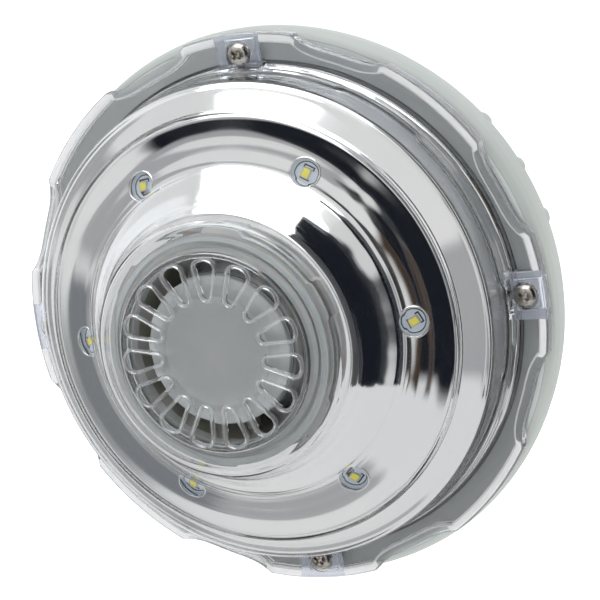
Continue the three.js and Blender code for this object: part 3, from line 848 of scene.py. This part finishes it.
def collar_thread():
    """A single-start thread inside the collar, which takes the pool's return fitting."""
    wall = 25.15
    pitch = 3.2
    turns = 3
    steps = 64
    rows = []
    for i in range(turns * steps + 1):
        angle = 360.0 * i / steps
        lead = min(1.0, i / 12, (turns * steps - i) / 12)
        forward = 1.6 + pitch * i / steps
        crest = wall - 1.0 * lead
        profile = ((wall, -0.9), (crest, -0.25), (crest, 0.25), (wall, 0.9))
        rows.append([point(radius, forward + side, angle) for radius, side in profile])
    return capped("thread", rows)


def rear_shell():
    shell = turned("pale_rear_shell", shell_profile())
    for angle in grip_angles():
        boolean(shell, clocked(grip_rib(), angle), "UNION")
    for angle in even_angles(SCREWS):
        boolean(shell, clocked(screw_post(), angle, SCREW_CIRCLE), "UNION")
    boolean(shell, collar_thread(), "UNION")
    shell.name = "pale_rear_shell"
    place(shell, "shell_plastic", "rear_shell")
    # the front face under the lens gets the paler copy, which is painted light
    paint(shell, [PAINTED_LIGHT_RIM], lambda radius, forward, face: int(forward > SHELL_FRONT - 0.3 and radius < 82.2))


def gasket():
    ring = turned("lens_gasket_fine", band(74.4, 75.8, 48.1, SHELL_FRONT, 0.4))
    place(ring, "rubber", "lens_gasket")


# ---- lens screws --------------------------------------------------------------------------------

def cross_recess(top):
    """The tapering cross that a driver fits."""
    blades = []
    for quarter in (0, 90):
        ends = [(top + 0.3, rectangle(2.15, -0.5, 0.5)), (top - 1.6, rectangle(1.0, -0.32, 0.32))]
        blade = wedge("blade", ends)
        blades.append(move(blade, Matrix.Rotation(math.radians(quarter + 38), 4, "Y")))
    return boolean(blades[0], blades[1], "UNION")


def screw_thread(start, end, radius, pitch):
    steps = 20
    count = int((end - start) / pitch * steps)
    rows = []
    for i in range(count + 1):
        angle = 360.0 * i / steps
        forward = start + pitch * i / steps
        lead = min(1.0, i / 10, (count - i) / 10)
        crest = radius - 0.35 + 0.35 * lead
        profile = ((radius - 0.5, -0.4), (crest, 0.0), (radius - 0.5, 0.4))
        rows.append([point(reach, forward + side, angle) for reach, side in profile])
    return capped("screw_thread", rows)


def lens_screw(name, angle):
    """A stainless pan-head screw with a cross recess."""
    seat = LIP_FRONT - 0.5
    body = turned(name, [
        (0, 38.6), (0.5, 38.9, 0.2), (1.3, 41.5, 0.6), (1.3, seat, 0.1), (3.4, seat, 0.15),
        (3.45, seat + 0.6, 0.7), (2.7, seat + 1.75, 1.6), (1.2, seat + 2.3, 2), (0, seat + 2.35),
    ], SMALL_ROUND, 0.5)
    boolean(body, cross_recess(seat + 2.35), "DIFFERENCE")
    boolean(body, screw_thread(41.5, 51.5, 1.7, 1.4), "UNION")
    clocked(body, angle, SCREW_CIRCLE)
    return body


def lens_screws():
    for i, side in enumerate(("top", "right", "bottom", "left")):
        screw = lens_screw(f"pan_screw_{side}", 90.0 * i)
        place(screw, "steel", f"lens_screw_{side}")


# ---- water path ---------------------------------------------------------------------------------

def retainer():
    """The clamp ring behind the cap, with six lugs for its tool."""
    rows = []
    section = rounded(band(30.4, 33.6, 95.0, 97.4, 0.3))
    for angle in even_angles(360):
        away, _ = nearest_turn(angle, 6, 10.0)
        grow = 1.7 * smooth_step((11.0 - abs(away)) / 3.0)
        rows.append([point(r + (grow if r > 32 else 0), f, angle) for r, f in section])
    return place(sections("clamp_ring", rows), "silicone", "grille_retainer")


def water_tube():
    """The tube's dark plastic is painted shade in the deep passage, with a pale sealing lip moulded on its
    front end.
    """
    pipe = turned("water_tube_fine", [
        (26.8, 19.4, 0.3), (30, 19.4, 0.3), (30, 98.1, 0.3), (27.8, 98.1, 0.3), (27.8, 45.9, 0.3),
        (26.8, 45.5, 0.3),
    ])
    place(pipe, "dark_plastic", "water_tube")
    # the dark faces behind the pale front end are painted shade
    paint(pipe, [LOOKS["silicone"]], tube_look)


def tube_look(radius, forward, face):
    outside = radius > 28.0
    return int(forward > (93 if outside else 95.5))


def water_path():
    water_tube()
    retainer()
    hub_gasket = band(32.0, 34.1, 98.6, 99.5, 0.3, 0.3, 0.4, 0.4)
    place(turned("hub_gasket_fine", hub_gasket), "silicone", "hub_gasket")
    place(o_ring("tube_seal_ring", 28.6, 2.0, 18), "rubber", "tube_o_ring")
    inlet_seal = band(20.8, 24.6, 11.6, 14.0, 0.5, 0.5, 0.3, 0.3)
    place(turned("inlet_seal_fine", inlet_seal), "rubber", "inlet_seal")


# ---- generator pod ------------------------------------------------------------------------------

def pale_pod_painted_light(radius, forward, face):
    """The middle of the cap, seen between the slots, is paler: painted light standing in for light the clear
    cap holds back.
    """
    return int(forward > 99.5 and radius < SLOT_INNER)


def pod():
    disc = turned("pod_cap_fine", [
        (0, 98.0), (18, 98.0), (18, 92.1), (19.4, 92.1), (19.4, 96.3), (22.3, 96.3, 0.2),
        (22.2, 98.9, 0.9), (19.7, 99.85, 3), (0, 99.9),
    ])
    place(disc, "grey_plastic", "generator_cap")
    # the pale middle is painted light
    paint(disc, [LOOKS["silicone"]], pale_pod_painted_light)
    place(turned("pod_body_fine", [
        (3.2, 45.3, 0.3), (8, 45.3, 3), (16.5, 47.8, 8), (20.2, 51.2, 6), (22.3, 55.6, 6),
        (22.3, 94.2, 0.3), (19.7, 94.2, 0.2), (19.7, 56, 5), (18.6, 52.2, 4), (15.6, 49.6, 5),
        (8, 47.6, 2), (3.2, 47.6, 0.2),
    ]), "grey_plastic", "generator_housing")


# ---- rotor ----------------------------------------------------------------------------------------

def turbine():
    """A hub with eight twisted blades."""
    hub = turned("turbine_wheel_fine", [
        (1.8, 23.1, 0.2), (4.6, 23.1, 1.2), (7, 25.2, 1.5), (7, 41.9, 0.5), (1.8, 41.9, 0.2),
    ], SMALL_ROUND)
    for angle in even_angles(8):
        boolean(hub, clocked(turbine_blade(), angle), "UNION")
    return place(hub, "grey_plastic", "turbine_wheel", body="rotor")


def turbine_blade():
    """One blade, thin at its edges, its pitch growing flatter towards the tip."""
    rows = []
    spans = 12
    for i in range(spans + 1):
        share = i / spans
        radius = 6.2 + (26.1 - 6.2) * share
        lean = math.radians(28 + 12 * share)
        row = []
        for across, thick in blade_section():
            x = across * math.sin(lean) + thick * math.cos(lean)
            forward = 32.5 + across * math.cos(lean) - thick * math.sin(lean)
            row.append(Vector((x, -forward, math.sqrt(max(radius ** 2 - x ** 2, 1)))) * MM)
        rows.append(row)
    return capped("blade", rows)


def blade_section():
    half = 7.4
    points = []
    for side, bulge in ((1, 0.5), (-1, 0.25)):
        for i in range(9):
            along = side * (2 * half * i / 8 - half)
            points.append((along, side * (0.35 + bulge * (1 - (along / half) ** 2))))
    return points


# ---- inside the pod and behind the reflector ------------------------------------------------------

FINE = 128                  # facets round the middle-sized pieces inside the pod
BOARD_SCREW_CIRCLE = 12.5
BOARD_SCREW_ANGLES = (90, 270)

INNER_RINGS = (
    ("pod_seal", "rubber", "root", band(19.9, 22.0, 94.6, 95.9, 0.5)),
    ("rear_bushing", "brass", "root", [
        (1.8, 43.5, 0.2), (4.5, 43.5, 0.2), (4.5, 44.8, 0.2), (2.8, 44.9, 0.1), (2.8, 49.1, 0.3),
        (1.8, 49.1, 0.2)]),
    ("front_bushing", "brass", "root", band(1.8, 2.8, 71.5, 75.1, 0.2)),
    ("shaft_seal", "rubber", "root", [
        (1.8, 50.2, 0.1), (2.3, 49.6, 0.2), (4.3, 49.6, 0.3), (4.3, 51.1, 0.3), (2.6, 51.1, 0.3)]),
    ("stator_bobbin", "dark_plastic", "root", [
        (11.2, 54.4, 0.2), (18.7, 54.4, 0.3), (18.7, 55.2, 0.3), (12.0, 55.3, 0.4), (12.0, 67.9, 0.4),
        (18.7, 68.0, 0.3), (18.7, 68.8, 0.3), (11.2, 68.8, 0.2)]),
    ("magnet_hub", "dark_plastic", "rotor", band(1.8, 4.3, 53.5, 69.5, 0.3)),
    ("ring_magnet", "magnet", "rotor", band(4.75, 8.8, 54.1, 68.9, 0.4, 0.5, 0.5, 0.4)),
    ("thrust_washer", "steel", "rotor", band(1.8, 3.7, 42.4, 43.0, 0.1, 0.2, 0.2, 0.1)),
    ("rotor_shaft", "steel", "rotor", [
        (0, 20.7), (1.2, 20.7, 0.1), (1.5, 21.1, 0.1), (1.5, 74.2, 0.1), (1.2, 74.5, 0.1), (0, 74.5)]),
)


def inner_rings():
    for node, slot, body, outline in INNER_RINGS:
        place(turned(f"{node}_fine", outline, 96), slot, node, body=body)


def shaft_clip():
    """A spring clip, open on one side."""
    clip = turned("shaft_clip_fine", band(1.8, 3.5, 21.9, 22.6, 0.1), SMALL_ROUND)
    gap = prism("gap", [(-0.7, 1.0), (0.7, 1.0), (1.0, 4.5), (-1.0, 4.5)], 21, 23)
    boolean(clip, gap, "DIFFERENCE")
    place(clip, "steel", "shaft_clip", body="rotor")


def stator_coil():
    """Copper wire in even turns."""
    inner, groove, crest = 12.5, 17.9, 18.15
    back, front = 55.7, 67.5
    outline = [(inner, back), (groove, back)]
    turns = 22
    pitch = (front - back) / turns
    for i in range(turns):
        start = back + i * pitch
        outline += [(groove, start + 0.02), (crest, start + 0.3 * pitch), (crest, start + 0.7 * pitch)]
    outline += [(groove, front), (inner, front)]
    place(turned("stator_coil_fine", outline, FINE), "copper", "stator_coil")


def claw_pole(name, outer, plate, claw, first):
    """A pressed plate with five claws, each narrower towards its tip."""
    pole = turned(f"{name}_fine", band(9.7, outer, *plate, 0.2), FINE)
    root, tip = claw
    for angle in even_angles(5, first):
        ends = [(root, rectangle(1.95, 9.6, 10.4)), (tip, rectangle(0.9, 9.6, 10.4))]
        boolean(pole, clocked(wedge("claw", ends), angle), "UNION")
    place(pole, "steel", name)


def bearing_plate():
    plate = turned("bearing_plate_fine", band(3.2, 19.3, 72.3, 74.5, 0.3, 0.4, 0.4, 0.3), FINE)
    for angle in BOARD_SCREW_ANGLES:
        post = turned("post", [
            (0, 73), (2.3, 73), (2.3, 77.6, 0.3), (1.35, 77.6), (1.35, 75.1), (0, 75.1),
        ], SMALL_ROUND)
        boolean(plate, clocked(post, angle, BOARD_SCREW_CIRCLE), "UNION")
    place(plate, "grey_plastic", "bearing_plate")


def rectifier_board():
    board = turned("rectifier_board_fine", band(0, 16.9, 78.1, 79.5, 0, 0.1, 0.1, 0), FINE)
    for angle in BOARD_SCREW_ANGLES:
        hole = turned("hole", band(0, 1.5, 77, 81), SMALL_ROUND)
        boolean(board, clocked(hole, angle, BOARD_SCREW_CIRCLE), "DIFFERENCE")
    place(board, "board", "rectifier_board")
    for i, angle in enumerate(BOARD_SCREW_ANGLES):
        screw = turned(f"board_screw_{i + 1}_fine", [
            (0, 75.7), (1, 75.9, 0.2), (1, 79.95), (2.15, 79.95, 0.1), (2.15, 80.8, 0.4), (1.4, 81.2, 0.4),
            (0, 81.25),
        ], SMALL_ROUND)
        boolean(screw, prism("slot", rectangle(2.5, -0.25, 0.25), 80.7, 82), "DIFFERENCE")
        place(clocked(screw, angle, BOARD_SCREW_CIRCLE), "steel", f"board_screw_{i + 1}")


def smoothing_capacitor():
    can = turned("smoothing_capacitor_fine", [
        (0, 80), (4.9, 80, 0.3), (4.9, 81.2, 0.2), (4.6, 81.6, 0.2), (4.9, 82, 0.2), (4.9, 90.9, 0.5),
        (4.1, 90.9), (4.0, 90.7), (0, 90.7),
    ], 96)
    place(clocked(can, 0, 8), "dark_plastic", "smoothing_capacitor")


def rectifier_chip():
    """A moulded chip with two legs on each of its two sides."""
    chip = prism("rectifier_chip_fine", rectangle(3.1, -7.6, -2.4), 80.3, 82.2, 0.25)
    chip.data.materials.append(LOOKS["dark_plastic"])
    parts = [chip]
    for x in (-2.2, 2.2):
        for low in (-7.95, -2.4):
            outline = [(x + across, up) for across, up in rectangle(0.4, low, low + 0.35)]
            leg = prism("leg", outline, 80.0, 80.9, 0.08)
            leg.data.materials.append(LOOKS["steel"])
            parts.append(leg)
    finish_piece(joined("rectifier_chip_fine", parts), None, "dark_plastic", "root", "rectifier_chip")


def flow_guide():
    """Six straightening vanes between two rings."""
    guide = turned("flow_guide_fine", band(26.2, 27.4, 46.1, 63.9, 0.3))
    for angle in even_angles(6, 30):
        vane = prism("vane", rectangle(0.8, 23.0, 26.8), 56.6, 63.4, 0.45)
        boolean(guide, clocked(vane, angle), "UNION")
    boolean(guide, turned("inner", band(22.7, 23.7, 56.1, 63.9, 0.3), FINE), "UNION")
    place(guide, "grey_plastic", "flow_guide")


def curved(spots):
    """A smooth path through spots."""
    path = []
    steps = 8
    for i in range(len(spots) - 1):
        before, here = spots[max(i - 1, 0)], spots[i]
        onward, later = spots[i + 1], spots[min(i + 2, len(spots) - 1)]
        for step in range(steps):
            t = step / steps
            straight = here * 2 + (onward - before) * t
            bend = (before * 2 - here * 5 + onward * 4 - later) * t * t
            twist = (here * 3 - before - onward * 3 + later) * t ** 3
            path.append((straight + bend + twist) / 2)
    return path + [spots[-1]]


def wiring():
    """The lead from the board to the LEDs, the conduit it crosses the water in, and the LED harness."""
    route = [
        (12.5, 80.0), (12.6, 82.2), (14.6, 84), (18, 84), (26, 84), (33, 84), (37, 82.6), (42, 77.4),
        (46, 73.4), (49.2, 72.5),
    ]
    lead = tube("led_lead_fine", curved([point(r, f, 180) for r, f in route]), 1.05, 20)
    place(lead, "lead_sleeve", "led_lead")
    place(o_ring("led_harness_fine", 51.8, 1.55, 72.4), "lead_sleeve", "led_harness")
    conduit = turned("lead_conduit_fine", band(1.45, 2.35, 22.7, 27.1, 0.2, 0.3, 0.3, 0.2), SMALL_ROUND)
    move(conduit, Matrix.Translation((0, -84 * MM, 0)) @ Matrix.Rotation(math.radians(-90), 4, "X"))
    place(clocked(conduit, 180), "dark_plastic", "lead_conduit")


def insides():
    inner_rings()
    shaft_clip()
    stator_coil()
    claw_pole("claw_pole_rear", 18.1, (52.8, 53.9), (53.6, 66.9), 0)
    claw_pole("claw_pole_front", 19.1, (69.3, 70.5), (69.9, 56.1), 36)
    bearing_plate()
    rectifier_board()
    smoothing_capacitor()
    rectifier_chip()
    flow_guide()
    wiring()


# ---- studio and camera ----------------------------------------------------------------------------

class Sky:
    """The studio round the light, as soft-edged panels on a pale dome."""

    def __init__(self, colour):
        world = bpy.data.worlds.new("studio")
        bpy.context.scene.world = world
        world.use_nodes = True
        self.tree = world.node_tree
        self.tree.nodes.clear()
        self.direction = self.uneven(self.tree.nodes.new("ShaderNodeTexCoord").outputs["Generated"])
        self.value = self.constant(colour)

    def uneven(self, direction):
        """Bends the directions a little, so that the panels' edges wander."""
        noise = add_node(self.tree, "ShaderNodeTexNoise", Scale=2.6, Detail=2.0, Vector=direction)
        swing = Vector((0.16, 0.16, 0.16))
        bend = self.vector_maths("MULTIPLY_ADD", noise.outputs["Color"], swing, -swing / 2)
        return self.vector_maths("ADD", direction, bend)

    def wired(self, node, values):
        """Sets the node's inputs in order: a constant is written and a socket is linked."""
        for socket, value in zip(node.inputs, values):
            if isinstance(value, (int, float, Vector)):
                socket.default_value = value
            else:
                self.tree.links.new(value, socket)
        return node

    def vector_maths(self, operation, *values):
        node = self.wired(self.tree.nodes.new("ShaderNodeVectorMath"), values)
        node.operation = operation
        return node.outputs["Value" if operation == "DOT_PRODUCT" else "Vector"]

    def constant(self, colour):
        node = self.tree.nodes.new("ShaderNodeRGB")
        node.outputs[0].default_value = (*colour, 1.0)
        return node.outputs[0]

    def maths(self, operation, *values):
        node = self.wired(self.tree.nodes.new("ShaderNodeMath"), values)
        node.operation = operation
        return node.outputs[0]

    def along(self, axis):
        return self.vector_maths("DOT_PRODUCT", self.direction, axis)

    def edge(self, distance, half, soft):
        """1 inside half, 0 outside half + soft."""
        node = add_node(self.tree, "ShaderNodeMapRange", From_Min=half + soft, From_Max=half, Value=distance)
        node.interpolation_type = "SMOOTHSTEP"
        return node.outputs["Result"]

    def blend(self, mask, first, second):
        node = self.tree.nodes.new("ShaderNodeMix")
        node.data_type = "RGBA"
        factor, low, high = [socket for socket in node.inputs if socket.enabled]
        self.tree.links.new(mask, factor)
        self.tree.links.new(first, low)
        self.tree.links.new(second, high)
        return [socket for socket in node.outputs if socket.enabled][0]

    def panel(self, azimuth, elevation, width, height, colour, soft):
        """A panel of one colour: azimuth from the front towards +X, sizes in degrees."""
        azimuth, elevation = math.radians(azimuth), math.radians(elevation)
        level = Vector((math.sin(azimuth), -math.cos(azimuth), 0))
        ahead = level * math.cos(elevation) + Vector((0, 0, math.sin(elevation)))
        right = Vector((math.cos(azimuth), math.sin(azimuth), 0))
        up = ahead.cross(right)
        facing = self.along(ahead)
        mask = self.maths("GREATER_THAN", facing, 0.05)
        safe = self.maths("MAXIMUM", facing, 0.05)
        for axis, size in ((right, width), (up, height)):
            off = self.maths("ABSOLUTE", self.maths("DIVIDE", self.along(axis), safe))
            half = math.tan(math.radians(size / 2))
            mask = self.maths("MULTIPLY", mask, self.edge(off, half, math.tan(math.radians(soft))))
        self.value = self.blend(mask, self.value, self.constant(colour))

    def finish(self):
        """The camera sees plain white behind the light; everything else sees the panels."""
        path = self.tree.nodes.new("ShaderNodeLightPath")
        seen = self.blend(path.outputs["Is Camera Ray"], self.value, self.constant((1.05, 1.05, 1.05)))
        background = add_node(self.tree, "ShaderNodeBackground", Color=seen)
        add_node(self.tree, "ShaderNodeOutputWorld", Surface=background.outputs["Background"])


WHITE = (2.9, 2.95, 3.0)
PALE = (1.0, 1.01, 1.02)
GREY = (0.40, 0.40, 0.41)
SLATE = (0.21, 0.22, 0.23)
BROWN = (0.060, 0.040, 0.028)
BLACK = (0.010, 0.012, 0.017)


PANELS = (
    # azimuth, elevation, width and height in degrees, colour, softness of the edges in degrees
    (8, 82, 64, 56, WHITE, 5),          # overhead softbox
    (-120, 10, 40, 80, PALE, 12),       # pale walls beside and behind
    (150, 20, 100, 80, PALE, 12),
    (80, 10, 43, 104, BLACK, 4),        # tall black flag on the right
    (41, -12, 15, 34, GREY, 6),
    (19, -9, 5, 36, BROWN, 4),          # dark and grey shapes in front of the light
    (6, -6, 16, 33, BLACK, 4),
    (-24, 20, 50, 8, GREY, 4),
    (-16, 13, 42, 7, BLACK, 3),
    (-68, 14, 28, 22, GREY, 5),         # grey boards on the left and below
    (-70, -25, 25, 42, SLATE, 5),
    (-34, -54, 34, 12, GREY, 6),
)


def studio():
    sky = Sky((0.77, 0.77, 0.765))
    for panel in PANELS:
        sky.panel(*panel)
    sky.finish()


def floor():
    """A pale floor well below the light, bright enough to vanish into the background."""
    level = -0.30
    reach = 3.0
    corners = [Vector((x, y, level)) for x, y in rectangle(reach, -reach, reach)]
    piece = make("floor", corners, [(0, 1, 2, 3)])
    look = surface("floor", ((0.86, 0.86, 0.86), (0.88, 0.88, 0.88)), 2.0, (0.6, 0.8, 3.0),
                   places=(0.4, 0.6), Emission_Strength=0.35, Emission_Color=(1, 1, 1, 1))
    piece.data.materials.append(look)
    piece.visible_glossy = False
    piece.visible_transmission = False


def camera():
    """A long lens, high on the light's left as it faces the viewer, and rolled a little."""
    azimuth, elevation, roll = (math.radians(value) for value in (25.26, 11.72, 9.2))
    distance = 0.8784
    aim = Vector((0.00777, -0.056, 0.0034))
    level_ahead = Vector((-math.sin(azimuth), math.cos(azimuth), 0))
    ahead = level_ahead * math.cos(elevation) - Vector((0, 0, math.sin(elevation)))
    level_right = ahead.cross(Vector((0, 0, 1))).normalized()
    level_up = level_right.cross(ahead)
    right = level_right * math.cos(roll) - level_up * math.sin(roll)
    up = level_up * math.cos(roll) + level_right * math.sin(roll)
    data = bpy.data.cameras.new("camera")
    data.lens = 175.66
    data.sensor_width = 36
    data.clip_start = 0.01
    viewer = bpy.data.objects.new("camera", data)
    turn = Matrix((right, up, -ahead)).transposed().to_4x4()
    viewer.matrix_world = Matrix.Translation(aim - ahead * distance) @ turn
    bpy.context.scene.collection.objects.link(viewer)
    bpy.context.scene.camera = viewer


def light_paths():
    """Enough bounces for a mirror behind two walls of clear plastic."""
    scene = bpy.context.scene
    scene.view_settings.view_transform = "Standard"
    if hasattr(scene, "cycles"):
        scene.cycles.max_bounces = 20
        scene.cycles.transmission_bounces = 16
        scene.cycles.glossy_bounces = 8
        scene.cycles.diffuse_bounces = 4
        scene.cycles.transparent_max_bounces = 8


camera()
light_paths()
studio()
floor()
front_lens()
outlet_cap()
reflector()
leds()
rear_shell()
gasket()
lens_screws()
water_path()
pod()
turbine()
insides()
